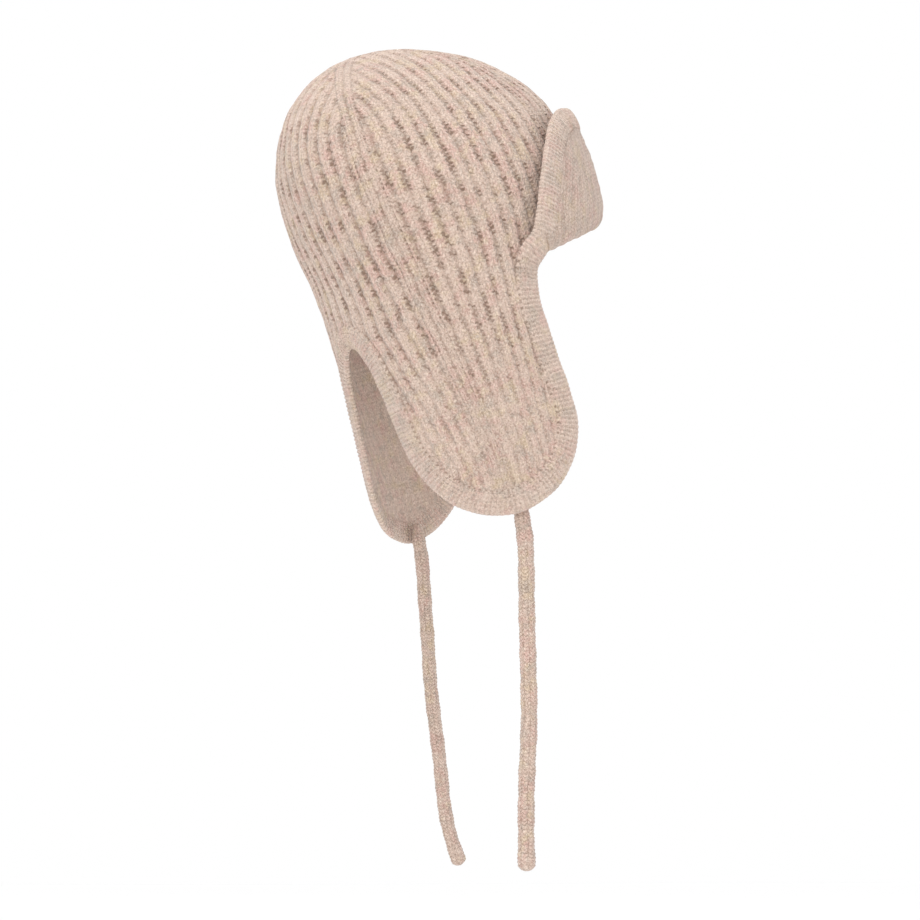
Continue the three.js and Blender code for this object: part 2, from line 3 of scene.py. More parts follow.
import bpy
import numpy as np
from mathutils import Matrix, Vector


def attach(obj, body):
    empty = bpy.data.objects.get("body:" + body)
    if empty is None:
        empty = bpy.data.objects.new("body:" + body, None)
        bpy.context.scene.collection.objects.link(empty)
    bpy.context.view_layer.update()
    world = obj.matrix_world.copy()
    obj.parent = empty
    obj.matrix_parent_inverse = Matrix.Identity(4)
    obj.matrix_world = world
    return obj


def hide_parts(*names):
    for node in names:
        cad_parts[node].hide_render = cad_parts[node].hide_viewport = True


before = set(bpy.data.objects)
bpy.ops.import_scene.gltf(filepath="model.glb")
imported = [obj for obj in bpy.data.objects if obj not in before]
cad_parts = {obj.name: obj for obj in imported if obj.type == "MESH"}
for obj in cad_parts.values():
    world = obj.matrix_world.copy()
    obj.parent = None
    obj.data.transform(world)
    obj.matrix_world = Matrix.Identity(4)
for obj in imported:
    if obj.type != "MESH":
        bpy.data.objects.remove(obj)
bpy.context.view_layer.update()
bpy.ops.object.select_all(action="DESELECT")

# Camera: behind the hat's right side and a little below it, looking up from about 1.7 metres,
# as the photograph was taken.
CAMERA_PLACE = Vector((-1.5169, 0.6257, -0.5184))
CAMERA_BEHIND = math.radians(24.668)
CAMERA_RISE = math.radians(8.882)
CAMERA_LENS = 102.3
CAMERA_SENSOR = 36
SEEN_AS_FAR_AS = 60

camera = bpy.data.objects.new("camera", bpy.data.cameras.new("camera"))
bpy.context.scene.collection.objects.link(camera)
camera.location = CAMERA_PLACE
looking = Vector((
    math.cos(CAMERA_BEHIND) * math.cos(CAMERA_RISE),
    -math.sin(CAMERA_BEHIND) * math.cos(CAMERA_RISE),
    math.sin(CAMERA_RISE),
))
camera.rotation_euler = looking.to_track_quat("-Z", "Y").to_euler()
camera.data.sensor_width = CAMERA_SENSOR
camera.data.lens = CAMERA_LENS
camera.data.clip_end = SEEN_AS_FAR_AS
bpy.context.scene.camera = camera

# Tie cords: two knitted tubes about 230 mm long, in the same yarn as the hat. Each is sewn to
# the inside of an ear flap just above its edge and hangs by its own weight to a bare, round end.
CORD_WIDTH = 0.0105
CORD_THICKNESS = 0.008
CORD_TWIST = 0.33
CORD_WALES = 8
CORD_COURSE = 0.0024
CORD_SIDES = 42
CORD_STATION = 0.0008
CORD_END_SWELL = 0.1
SEWN_LENGTH = 0.011
SEWN_SIZE = 0.6
WALE_RELIEF = 0.03
COURSE_RELIEF = 0.045
COURSE_DRIFT = 0.25
COARSE_LUMP = 0.035
COARSE_LUMP_RATE = 260
FINE_LUMP = 0.03
FINE_LUMP_RATE = 611
YARN_HEIGHT = 0.0006
FINE_FUZZ = 0.00016
COARSE_FUZZ = 0.0003
CURVE_STEPS = 24
RIGHT_CORD_ROUTE = [
    (-0.0735, -0.0785, -0.291),
    (-0.0735, -0.0791, -0.298),
    (-0.0734, -0.08, -0.306),
    (-0.0732, -0.0814, -0.314),
    (-0.073, -0.0823, -0.324),
    (-0.0728, -0.0827, -0.338),
    (-0.0726, -0.0829, -0.354),
    (-0.0726, -0.0832, -0.371),
    (-0.0727, -0.0836, -0.388),
    (-0.0729, -0.0839, -0.405),
    (-0.073, -0.0841, -0.421),
    (-0.073, -0.0838, -0.437),
    (-0.073, -0.0829, -0.453),
    (-0.073, -0.0821, -0.47),
    (-0.073, -0.0818, -0.487),
    (-0.073, -0.0818, -0.504),
    (-0.073, -0.0821, -0.52),
]
LEFT_CORD_ROUTE = [
    (0.0705, -0.072, -0.291),
    (0.0705, -0.073, -0.301),
    (0.0707, -0.0749, -0.311),
    (0.071, -0.0762, -0.321),
    (0.0712, -0.0772, -0.333),
    (0.0715, -0.0783, -0.346),
    (0.0717, -0.0797, -0.361),
    (0.0719, -0.0809, -0.376),
    (0.072, -0.0819, -0.391),
    (0.072, -0.0836, -0.407),
    (0.072, -0.0859, -0.424),
    (0.072, -0.0883, -0.441),
    (0.072, -0.0904, -0.458),
    (0.072, -0.0923, -0.475),
    (0.072, -0.0952, -0.49),
    (0.072, -0.0992, -0.503),
    (0.072, -0.1044, -0.516),
]

# Melange yarn, spun from fibres of several natural beiges
PLAIN_YARN = (0.605, 0.457, 0.378, 1)
ROSY_YARN = (0.60, 0.395, 0.335, 1)
STRAW_YARN = (0.59, 0.455, 0.31, 1)
GREY_YARN = (0.44, 0.358, 0.30, 1)
CREAM_YARN = (0.82, 0.69, 0.595, 1)
BROWN_FLECK = (0.33, 0.23, 0.172, 1)
# Dark brown that the yarn is darkened towards as painted shade, in hollows, furrows, holes and seams
PAINTED_SHADE_BROWN = (0.19, 0.118, 0.078, 1)
YARN_CLOUDS = [
    {"scale": 70, "starts": 0.46, "full": 0.64, "share": 1.0, "yarn": ROSY_YARN},
    {"scale": 95, "starts": 0.5, "full": 0.66, "share": 0.8, "yarn": STRAW_YARN},
    {"scale": 130, "starts": 0.5, "full": 0.68, "share": 0.8, "yarn": GREY_YARN},
]


class Shade:
    """A socket of a material's nodes, so that the maths of a shader reads as plain expressions."""

    def __init__(self, tree, socket=None):
        self.tree = tree
        self.socket = socket

    def node(self, kind, settings=None, sockets=None, output=0):
        """Adds a node, sets it up and gives one of its outputs."""
        made = self.tree.nodes.new(kind)
        for name, value in (settings or {}).items():
            setattr(made, name, value)
        for name, value in (sockets or {}).items():
            if isinstance(value, Shade):
                self.tree.links.new(value.socket, made.inputs[name])
            else:
                made.inputs[name].default_value = value
        return Shade(self.tree, made.outputs[output]) if len(made.outputs) else None

    def maths(self, operation, *values):
        return self.node("ShaderNodeMath", {"operation": operation}, dict(enumerate(values)))

    def __add__(self, other):
        return self.maths("ADD", self, other)

    def __radd__(self, other):
        return self.maths("ADD", other, self)

    def __sub__(self, other):
        return self.maths("SUBTRACT", self, other)

    def __rsub__(self, other):
        return self.maths("SUBTRACT", other, self)

    def __mul__(self, other):
        return self.maths("MULTIPLY", self, other)

    def __rmul__(self, other):
        return self.maths("MULTIPLY", other, self)

    def __truediv__(self, other):
        return self.maths("DIVIDE", self, other)

    def __pow__(self, other):
        return self.maths("POWER", self, other)

    def __lt__(self, other):
        return self.maths("LESS_THAN", self, other)

    def __abs__(self):
        return self.maths("ABSOLUTE", self)

    def rest(self):
        """What is left past the last whole number."""
        return self.maths("FRACT", self)

    def whole(self):
        return self.maths("FLOOR", self)

    def least(self, other):
        """The smaller of two values."""
        return self.maths("MINIMUM", self, other)

    def wave(self):
        """A cosine with one full turn for each unit."""
        return self.maths("COSINE", self * (2 * math.pi))

    def rise(self, low, high):
        """0 below low, 1 above high and a smooth step between them."""
        sockets = {"Value": self, "From Min": low, "From Max": high}
        return self.node("ShaderNodeMapRange", {"interpolation_type": "SMOOTHSTEP"}, sockets)

    def tint(self, first, second):
        """Mixes two colours with this value as the share of the second."""
        return self.node("ShaderNodeMix", {"data_type": "RGBA"}, {0: self, 6: first, 7: second}, 2)

    def part(self, axis):
        """One of the three parts of a place."""
        return self.node("ShaderNodeSeparateXYZ", None, {0: self}, axis)

    def noise(self, scale, detail=2.0, roughness=0.5):
        """Cloudy noise between 0 and 1 at this place."""
        sockets = {"Vector": self, "Scale": scale, "Detail": detail, "Roughness": roughness}
        return self.node("ShaderNodeTexNoise", None, sockets)

    def chance(self, other):
        """A random value for each whole step of this value and the other."""
        cell = self.node("ShaderNodeCombineXYZ", None, {0: self.whole(), 1: other.whole()})
        return cell.node("ShaderNodeTexWhiteNoise", {"noise_dimensions": "2D"}, {"Vector": cell})


def yarn_colour(place):
    """Clouds of rosy, straw and grey yarn, with cream and brown fibres all over."""
    fibres = place.noise(900, 3, 0.75)
    clumps = place.noise(380, 3, 0.7)
    colour = PLAIN_YARN
    for cloud in YARN_CLOUDS:
        amount = place.noise(cloud["scale"], 3, 0.65).rise(cloud["starts"], cloud["full"])
        colour = (amount * cloud["share"]).tint(colour, cloud["yarn"])
    colour = (clumps.rise(0.5, 0.75) * 0.6).tint(colour, CREAM_YARN)
    colour = (fibres.rise(0.5, 0.68) * 0.7).tint(colour, CREAM_YARN)
    return ((1 - fibres.rise(0.32, 0.5)) * 0.75).tint(colour, BROWN_FLECK)


def knit_material(name, draw, paler=0.0):
    """A knitted finish. draw gives the yarn's height in metres and the painted shade of its hollows,
    and paler is the share of cream that is mixed into the yarn as painted light."""
    material = bpy.data.materials.new(name)
    material.use_nodes = True
    tree = material.node_tree
    tree.nodes.clear()
    start = Shade(tree)
    place = start.node("ShaderNodeTexCoord", output=3)
    uv = start.node("ShaderNodeUVMap", {"uv_map": "knit"})
    height, shadow = draw(place, uv.part(0), uv.part(1))
    fuzz = place.noise(2300, 3, 0.7) * FINE_FUZZ + place.noise(800, 2, 0.6) * COARSE_FUZZ
    bump = {"Height": height + fuzz, "Distance": 1.0, "Strength": 0.85}
    normal = start.node("ShaderNodeBump", None, bump)
    # Cream mixed in by paler is painted light
    blend = {0: paler, 6: yarn_colour(place), 7: CREAM_YARN}
    yarn = start.node("ShaderNodeMix", {"data_type": "RGBA"}, blend, 2)
    # The base colour holds painted shade: draw's shadow darkens the yarn towards the dark brown
    surface = start.node("ShaderNodeBsdfPrincipled", None, {
        "Base Color": shadow.tint(yarn, PAINTED_SHADE_BROWN),
        "Roughness": 0.93,
        "Sheen Weight": 0.3,
        "Sheen Roughness": 0.55,
        "Specular IOR Level": 0.12,
        "Normal": normal,
    })
    start.node("ShaderNodeOutputMaterial", None, {"Surface": surface})
    return material


def stitches(across, along):
    """Height of plain knitting, 0 to 1: each wale is a column of V shapes, one for each course."""
    wale = abs(across.rest() - 0.5) * 2
    leg = (along + wale * 0.6).rest()
    strand = 1 - abs(leg * 2 - 1) ** 2.5
    return strand * (1 - wale ** 3) * (wale.rise(0.0, 0.4) * 0.4 + 0.6)


def draw_cord(place, across, along):
    """Plain knitting with painted shade in its hollows, stronger in some places than in others."""
    wander = place.noise(300, 3, 0.65) - 0.5
    knit = stitches(across + wander * 0.9, along + wander * 1.4)
    deeper_shade = place.noise(170, 2, 0.6).rise(0.35, 0.65)
    # Painted shade in the hollows between stitches, its strength varying from place to place
    hollow = (1 - knit).rise(0.5, 1.0) * (0.16 + 0.42 * deeper_shade)
    return knit * YARN_HEIGHT, hollow


def catmull_rom(points, count, closed=False):
    """Evenly spaced points on a smooth curve through the given ones, and their running directions."""
    points = np.asarray(points, float)
    if closed:
        ring = np.vstack([points[-1], points, points[:2]])
    else:
        ring = np.vstack([2 * points[0] - points[1], points, 2 * points[-1] - points[-2]])
    share = np.linspace(0, 1, CURVE_STEPS, endpoint=False)[:, None]
    fine = []
    for i in range(1, len(ring) - 2):
        p0, p1, p2, p3 = ring[i - 1:i + 3]
        d0, d1, d2 = (math.sqrt(np.linalg.norm(b - a)) for a, b in ((p0, p1), (p1, p2), (p2, p3)))
        t1 = ((p1 - p0) / d0 - (p2 - p0) / (d0 + d1) + (p2 - p1) / d1) * d1
        t2 = ((p2 - p1) / d1 - (p3 - p1) / (d1 + d2) + (p3 - p2) / d2) * d1
        bend = -3 * p1 + 3 * p2 - 2 * t1 - t2
        twist = 2 * p1 - 2 * p2 + t1 + t2
        fine.append(p1 + t1 * share + bend * share ** 2 + twist * share ** 3)
    fine = np.vstack([*fine, points[:1] if closed else points[-1:]])
    lengths = np.concatenate([[0], np.cumsum(np.linalg.norm(np.diff(fine, axis=0), axis=1))])
    wanted = np.linspace(0, lengths[-1], count, endpoint=not closed)
    even = np.stack([np.interp(wanted, lengths, fine[:, k]) for k in range(3)], -1)
    if closed:
        run = np.roll(even, -1, 0) - np.roll(even, 1, 0)
    else:
        run = np.gradient(even, axis=0)
    return even, run / np.linalg.norm(run, axis=1)[:, None], lengths[-1]


def tube_faces(stations, sides, closed):
    """Four-sided faces of a tube of rings, with the station and the side of each corner."""
    lengths = stations if closed else stations - 1
    i, j = np.meshgrid(np.arange(lengths), np.arange(sides), indexing="ij")
    station = np.stack([i, i, i + 1, i + 1], -1).reshape(-1, 4)
    side = np.stack([j, j + 1, j + 1, j], -1).reshape(-1, 4)
    return station % stations * sides + side % sides, station, side


def cloth_object(name, points, faces, face_uvs, material):
    """A new smooth piece from points and faces, with the place of its stitches in a UV map."""
    mesh = bpy.data.meshes.new(name)
    mesh.from_pydata(np.asarray(points).reshape(-1, 3).tolist(), [], faces)
    mesh.uv_layers.new(name="knit").data.foreach_set("uv", np.asarray(face_uvs, np.float32).ravel())
    mesh.polygons.foreach_set("use_smooth", np.ones(len(mesh.polygons), bool))
    mesh.materials.append(material)
    mesh.update()
    piece = bpy.data.objects.new(name, mesh)
    bpy.context.scene.collection.objects.link(piece)
    return piece


def close_and_face_out(piece, close=False):
    """Closes open ends where asked, drops unused points and turns all faces outwards."""
    bpy.context.view_layer.objects.active = piece
    piece.select_set(True)
    bpy.ops.object.mode_set(mode="EDIT")
    if close:
        bpy.ops.mesh.select_all(action="DESELECT")
        bpy.ops.mesh.select_non_manifold()
        bpy.ops.mesh.edge_face_add()
    bpy.ops.mesh.select_all(action="SELECT")
    bpy.ops.mesh.delete_loose()
    bpy.ops.mesh.select_all(action="SELECT")
    bpy.ops.mesh.normals_make_consistent(inside=False)
    bpy.ops.object.mode_set(mode="OBJECT")
    piece.select_set(False)


cord_knit = knit_material("cord_knit", draw_cord)


def tie_cord(name, route, outwards):
    """A knitted tube along a route, with a round free end. outwards is -1 or 1."""
    _, _, length = catmull_rom(route, 2)
    stations = round(length / CORD_STATION)
    middle, run, _ = catmull_rom(route, stations)
    face = np.array([outwards, CORD_TWIST, 0]) / math.hypot(1, CORD_TWIST)
    across = np.cross(run, face)
    across /= np.linalg.norm(across, axis=1)[:, None]
    out = np.cross(across, run)
    travelled = np.linspace(0, length, stations)
    radius = CORD_THICKNESS / 2
    to_end = np.minimum(length - travelled, travelled + radius / 2)
    dome = np.sqrt(1 - (1 - np.clip(to_end / radius, 0.02, 1)) ** 2)
    swell = 1 + CORD_END_SWELL * np.exp(-((length - travelled - radius) / radius) ** 2)
    lumps = 1 + COARSE_LUMP * np.sin(travelled * COARSE_LUMP_RATE + 1.3)
    lumps = lumps + FINE_LUMP * np.sin(travelled * FINE_LUMP_RATE + outwards)
    lumps = lumps * (SEWN_SIZE + (1 - SEWN_SIZE) * np.clip(travelled / SEWN_LENGTH, 0, 1))
    angle = (np.arange(CORD_SIDES) + 0.5) / CORD_SIDES * 2 * math.pi
    course = travelled[:, None] / CORD_COURSE + COURSE_DRIFT * np.sin(angle * 2 + outwards)
    bumps = COURSE_RELIEF * np.cos(2 * math.pi * course) * np.abs(np.cos(CORD_WALES * angle / 2))
    wales = 0.95 + WALE_RELIEF * np.cos(CORD_WALES * angle)
    size = (dome * swell * lumps)[:, None] * (wales + bumps)
    points = middle[:, None] + (np.cos(angle) * size * CORD_WIDTH / 2)[..., None] * across[:, None]
    points = points + (np.sin(angle) * size * CORD_THICKNESS / 2)[..., None] * out[:, None]
    faces, station, side = tube_faces(stations, CORD_SIDES, False)
    uvs = np.stack([side / CORD_SIDES * CORD_WALES, station * length / stations / CORD_COURSE], -1)
    piece = cloth_object(name, points, faces.tolist(), uvs, cord_knit)
    close_and_face_out(piece, close=True)
    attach(piece, "root")
    [tuple(point) for point in middle[::6]] + [tuple(middle[-1])]
    return piece


right_cord = tie_cord("right_cord_knit", RIGHT_CORD_ROUTE, -1)
left_cord = tie_cord("left_cord_knit", LEFT_CORD_ROUTE, 1)
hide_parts("right_tie_cord")
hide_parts("left_tie_cord")

# Hood with its ear flaps: one piece of chunky rib knit in the same yarn, worked upwards in four
# quarters that lose ribs along the lines between them until they meet at the top.
HALF_WIDTH = 0.086
FRONT_REACH = 0.117
BACK_REACH = 0.077
CROWN_DEPTH = 0.171
BROW_LIFT = 0.013
BROW_RISE = 0.016
TEMPLE_REACH = 0.0275
NAPE_DEPTH = 0.181
FLAP_DROP = 0.141
FLAP_BREADTH = 0.055
FLAP_LOW_POINT = 0.038
WALL = 0.0035
ROUNDNESS = 2.2
LEAN = math.radians(20)
BAND_WIDTH = 0.0165
PEAK_HEIGHT = 0.0775
PEAK_STAND_OFF = 0.0085
FOLD_DROP = 0.0065
SEAM_GAP = 0.0003
QUARTER_RIBS = 14
RIB_RELIEF = 0.0013
SHAPING_DEPTH = 0.048
SHAPING_EASE = 0.1
FLAP_GATHER = 0.58
MOST_GATHER = 0.46
GATHER_START = 0.132
GATHER_MIDDLE = 0.585
NAPE_EASE = 0.05
LINE_RIB = 0.62
RIB_SWAY = 0.0018
CLOTH_LUMP = 0.0003
FURROW_FADING = 0.3
FLAP_FLATTER = 0.4
FLATTER_LENGTH = 0.05
COURSE = 0.0031
# How much of the painted shade is eased off at the crown's top and at the flaps' ends, and over which
# courses
CROWN_SHADE_EASING = 0.65
CROWN_SHADE_EASING_COURSES = (8, 34)
FLAP_SHADE_EASING = 0.62
FLAP_SHADE_EASING_COURSES = (74, 104)
FURROW_SHADE = 0.31
HOLE_SHADE = 0.74
DARKEST_SHADE = 0.85
RIB_SAMPLES = 10
ROW_STEP = 0.0019
BLOCK_COLUMNS = 5
SECTION_STEPS = 60
OUTLINE_STATIONS = 1500
# crown, flap, side, front and back, as shares of CROWN_DEPTH, FLAP_DROP, HALF_WIDTH,
# FRONT_REACH and BACK_REACH
SECTIONS = np.array([
    (0.0, 0.0, 0.0, 0.0, 0.0),
    (0.035, 0.0, 0.273, 0.32, 0.43),
    (0.152, 0.0, 0.57, 0.68, 0.78),
    (0.351, 0.0, 0.831, 0.94, 0.987),
    (0.585, 0.0, 0.977, 1.0, 1.0),
    (0.819, 0.0, 1.0, 0.987, 0.929),
    (1.0, 0.064, 0.994, 0.974, 0.929),
    (1.0, 0.42, 1.0, 0.97, 0.968),
    (1.0, 0.81, 1.012, 0.97, 1.026),
    (1.0, 1.24, 1.012, 0.97, 1.065),
])
# apart and below, as shares of the flap's lowest point's distance from the middle and its drop
BACK_EDGE = np.array([
    (0.0, 0.0),
    (0.17, 0.035),
    (0.325, 0.165),
    (0.387, 0.282),
    (0.439, 0.419),
    (0.484, 0.552),
    (0.547, 0.676),
    (0.681, 0.821),
    (0.834, 0.93),
    (1.0, 1.0),
])
# across and below, as shares of FLAP_BREADTH and the drop from the temple
FRONT_EDGE = np.array([
    (0.306, 0.99),
    (0.618, 0.932),
    (0.84, 0.84),
    (0.972, 0.736),
    (1.009, 0.571),
    (0.997, 0.4),
    (1.002, 0.27),
    (0.997, 0.18),
    (1.075, 0.02),
])
# turn in degrees from the front, up as a share of PEAK_HEIGHT, stand as one of PEAK_STAND_OFF
PEAK_EDGE = np.array([
    (77.4, 0.008, 0.1),
    (72.0, 0.127, 0.85),
    (69.8, 0.207, 1.0),
    (66.9, 0.33, 1.0),
    (63.3, 0.485, 1.0),
    (55.4, 0.722, 1.0),
    (48.4, 0.85, 1.05),
    (41, 0.893, 1.05),
    (25, 0.872, 1.05),
    (0, 0.852, 1.05),
])
TOP_EDGE_START = 6


def smooth_sections():
    """Depth, side, front and back of the hood, closely spaced between the rows of the table."""
    rows = np.column_stack([
        SECTIONS[:, 0] * CROWN_DEPTH + SECTIONS[:, 1] * FLAP_DROP,
        SECTIONS[:, 2] * HALF_WIDTH,
        SECTIONS[:, 3] * FRONT_REACH,
        SECTIONS[:, 4] * BACK_REACH,
    ])
    ring = np.vstack([rows[1] * (1, -1, -1, -1), rows, 2 * rows[-1] - rows[-2]])
    share = np.linspace(0, 1, SECTION_STEPS, endpoint=False)[:, None]
    fine = []
    for i in range(1, len(ring) - 2):
        p0, p1, p2, p3 = ring[i - 1:i + 3]
        bend = 2 * p0 - 5 * p1 + 4 * p2 - p3
        twist = 3 * p1 - p0 - 3 * p2 + p3
        fine.append(0.5 * (2 * p1 + (p2 - p0) * share + bend * share ** 2 + twist * share ** 3))
    return np.vstack([*fine, rows[-1:]])


SMOOTH = smooth_sections()


def reaches(down):
    """Half width, front reach and back reach of the hood at a depth."""
    return [np.interp(down, SMOOTH[:, 0], SMOOTH[:, k]) for k in (1, 2, 3)]


def hood_point(turn, down):
    """A point of the smooth hood. turn is in degrees from the front towards the hat's right."""
    turn, down = np.broadcast_arrays(np.asarray(turn, float), np.asarray(down, float))
    side, front, back = reaches(down)
    cos, sin = np.cos(np.radians(turn)), np.sin(np.radians(turn))
    reach = (np.abs(cos) ** ROUNDNESS + np.abs(sin) ** ROUNDNESS) ** (-1 / ROUNDNESS)
    forward = np.where(cos > 0, front, back) * reach * cos
    return np.stack([-side * reach * sin, -forward, WALL - down], -1)


def hood_normal(turn, down):
    """The direction straight out of the smooth hood."""
    nudge, step = 0.5, 0.0005
    around = hood_point(turn + nudge, down) - hood_point(turn - nudge, down)
    along = hood_point(turn, down + step) - hood_point(turn, np.maximum(down - step, 0))
    normal = np.cross(around, along)
    size = np.linalg.norm(normal, axis=-1, keepdims=True)
    return np.where(size > 0, normal / np.maximum(size, 1e-12), (0, 0, 1))


def cloth_point(turn, down, lift):
    """A point lifted off the smooth hood, or sunk into its wall where lift is negative."""
    turn, down, lift = np.broadcast_arrays(*(np.asarray(v, float) for v in (turn, down, lift)))
    return hood_point(turn, down) + hood_normal(turn, down) * lift[..., None]


def place_of(point):
    """The turn and depth that a point near the hood lies at."""
    point = np.asarray(point)
    down = WALL - point[..., 2]
    side, front, back = reaches(down)
    along = -point[..., 1] / np.where(point[..., 1] < 0, front, back)
    return np.degrees(np.arctan2(-point[..., 0] / side, along)), down


def worn(points):
    """Leans points of the hat back as it is worn."""
    points = np.asarray(points)
    cos, sin = math.cos(LEAN), math.sin(LEAN)
    y, z = points[..., 1], points[..., 2]
    return np.stack([points[..., 0], y * cos + z * sin, z * cos - y * sin], -1)


def turn_at(share, down):
    """The turn at each share of the way round half the girth, one row for each depth."""
    turns = np.linspace(0, 180, 181)
    found = np.empty(share.shape)
    for row, depth in enumerate(down):
        ring = hood_point(turns, depth)
        lengths = np.concatenate([[0], np.cumsum(np.linalg.norm(np.diff(ring, axis=0), axis=1))])
        found[row] = np.sign(share[row]) * np.interp(np.abs(share[row]) * lengths[-1], lengths, turns)
    return found


def gathered(share, down):
    """Ribs draw together down each flap, towards a line behind the temple."""
    lowered = np.clip((down - GATHER_START) / (CROWN_DEPTH + FLAP_DROP - GATHER_START), 0, 1)
    pull = np.minimum(FLAP_GATHER * lowered, MOST_GATHER)
    spread = 1 - GATHER_MIDDLE + 0.5 * np.clip((down - NAPE_DEPTH) / NAPE_EASE, 0, 1)
    away = np.clip(np.abs(share) - GATHER_MIDDLE, -spread, spread)
    shift = pull * away * (1 - (away / spread) ** 2)
    return share - np.sign(share) * shift


LOW_DOWN = CROWN_DEPTH + FLAP_DROP - BAND_WIDTH / 2
NAPE_DOWN = NAPE_DEPTH - BAND_WIDTH / 2


def side_at(y, down):
    """Half width of the hood at a place between its front and back."""
    side, front, back = reaches(down)
    return side * (1 - (np.abs(y) / np.where(y < 0, front, back)) ** ROUNDNESS) ** (1 / ROUNDNESS)


def back_at(x, down):
    """Reach of the back of the hood at a place across it."""
    side, _, back = reaches(down)
    return back * (1 - np.minimum(np.abs(x) / side, 1) ** ROUNDNESS) ** (1 / ROUNDNESS)


def edge_line():
    """Turn and depth of the hood's right edge, from the nape down the flap and up to the temple."""
    down = NAPE_DOWN + (LOW_DOWN - NAPE_DOWN) * BACK_EDGE[:, 1]
    x = -BACK_EDGE[:, 0] * side_at(FLAP_LOW_POINT, LOW_DOWN)
    behind = place_of(np.stack([x, back_at(x, down), WALL - down], -1))
    down = CROWN_DEPTH + (LOW_DOWN - CROWN_DEPTH) * FRONT_EDGE[:, 1]
    y = FLAP_LOW_POINT - FLAP_BREADTH * FRONT_EDGE[:, 0]
    ahead = place_of(np.stack([-side_at(y, down), y, WALL - down], -1))
    return np.concatenate([behind[0], ahead[0]]), np.concatenate([behind[1], ahead[1]])


def brow_at(turn):
    """Depth of the flat brow cut that the peak is folded up at, lower at the temples."""
    y = hood_point(turn, CROWN_DEPTH - BROW_LIFT)[..., 1]
    share = (-TEMPLE_REACH - y) / (FRONT_REACH - TEMPLE_REACH)
    return CROWN_DEPTH - BROW_LIFT - BROW_RISE * share


FOLD_TURN = PEAK_EDGE[0, 0] - math.degrees((BAND_WIDTH / 2 + SEAM_GAP) / HALF_WIDTH)


def band_line(count):
    """Middle of the edge band, all the way round, with its running direction and length."""
    turn, down = edge_line()
    low = cloth_point(turn, down, -WALL / 2)
    peak_down = brow_at(PEAK_EDGE[:, 0]) + FOLD_DROP - PEAK_EDGE[:, 1] * PEAK_HEIGHT
    peak = cloth_point(PEAK_EDGE[:, 0], peak_down, PEAK_EDGE[:, 2] * PEAK_STAND_OFF)
    right = np.vstack([low, peak])
    left = right[1:-1][::-1] * (-1, 1, 1)
    return catmull_rom(np.vstack([right, left]), count, closed=True)


def hood_outline():
    """Turn and depth of the hood's whole edge, for trimming the rows of knitting to it."""
    line, _, _ = band_line(OUTLINE_STATIONS)
    turn, down = place_of(line)
    last_turn, last_down = (values[-1] for values in edge_line())
    temple = cloth_point(last_turn, last_down, -WALL / 2)
    last = int(np.argmin(np.linalg.norm(line - temple, axis=1)))
    fronts = np.linspace(FOLD_TURN, 0, 40)
    right_turn = np.concatenate([np.abs(turn[:last + 1]), fronts])
    right_down = np.concatenate([down[:last + 1], brow_at(fronts)])
    around = np.concatenate([[181], right_turn, -right_turn[::-1], [-181]])
    below = np.concatenate([[NAPE_DOWN], right_down, right_down[::-1], [NAPE_DOWN]])
    return np.vstack([[(-181, -1.0), (181, -1.0)], np.stack([around, below], -1)])


def is_inside(outline, turn, down):
    """True where a turn and depth lie within a closed outline."""
    within = np.zeros(turn.shape, bool)
    for (x0, y0), (x1, y1) in zip(outline, np.roll(outline, -1, 0)):
        if y0 == y1:
            continue
        crosses = (y0 > down) != (y1 > down)
        within ^= crosses & (turn < x0 + (down - y0) / (y1 - y0) * (x1 - x0))
    return within


def unevenness(across, along):
    """Soft waves between -1 and 1, as in knitting that was pressed by hand."""
    waves = [(1, 2, 0.4), (2, -3, 1.9), (3, 5, 4.2), (-5, 4, 0.3), (7, 9, 2.7), (-9, 13, 5.1)]
    total = 0
    for step, (a, b, shift) in enumerate(waves):
        total = total + np.sin(a * across + b * along + shift) / (1 + step * 0.35)
    return total / 3


def ribs_left_at(down):
    """Ribs that half a quarter still has at a depth. They are lost gradually towards the top."""
    share = reaches(down)[0] / reaches(SHAPING_DEPTH)[0]
    ease = np.clip((share - 1 + SHAPING_EASE) / (2 * SHAPING_EASE), 0, 1)
    eased = share - SHAPING_EASE * ease ** 2
    share = np.where(share < 1 + SHAPING_EASE, eased, 1)
    return QUARTER_RIBS / 2 * np.where(down > 2 * SHAPING_DEPTH, 1, np.minimum(share, 1))


def rib_sink(rib, ribs_left):
    """How far the cloth sinks between ribs, 0 on a rib and 1 in a furrow. rib counts ribs from
    the middle of a quarter."""
    from_line = (ribs_left - np.abs(rib)) / LINE_RIB
    phase = np.where(from_line < 1, from_line, rib - np.floor(rib))
    off_middle = np.abs(phase - 0.5) * 2
    furrow = 0.85 * off_middle ** 2.6 + 0.15 * (0.5 + 0.5 * np.cos(2 * math.pi * off_middle))
    beside_line = np.clip((from_line - 1) / 0.3, 0, 1)
    furrow = np.where(from_line < 1, furrow * 0.7, 0.6 - (0.6 - furrow) * beside_line)
    return furrow * np.clip(ribs_left / 1.5, 0, 1)


mean = (SMOOTH[:, 1] + (SMOOTH[:, 2] + SMOOTH[:, 3]) / 2) / 2
arc = np.concatenate([[0], np.cumsum(np.hypot(np.diff(SMOOTH[:, 0]), np.diff(mean)))])
whole_arc = np.interp(LOW_DOWN + 0.004, SMOOTH[:, 0], arc)
blocks_down = math.ceil(whole_arc / ROW_STEP / 2)
rows = 2 * blocks_down + 1
columns = 4 * QUARTER_RIBS * RIB_SAMPLES
quarter = columns // 4
blocks_round = columns // BLOCK_COLUMNS
travelled = np.linspace(0, whole_arc, rows)
down = np.interp(travelled, arc, SMOOTH[:, 0])
ribs_left = ribs_left_at(down)

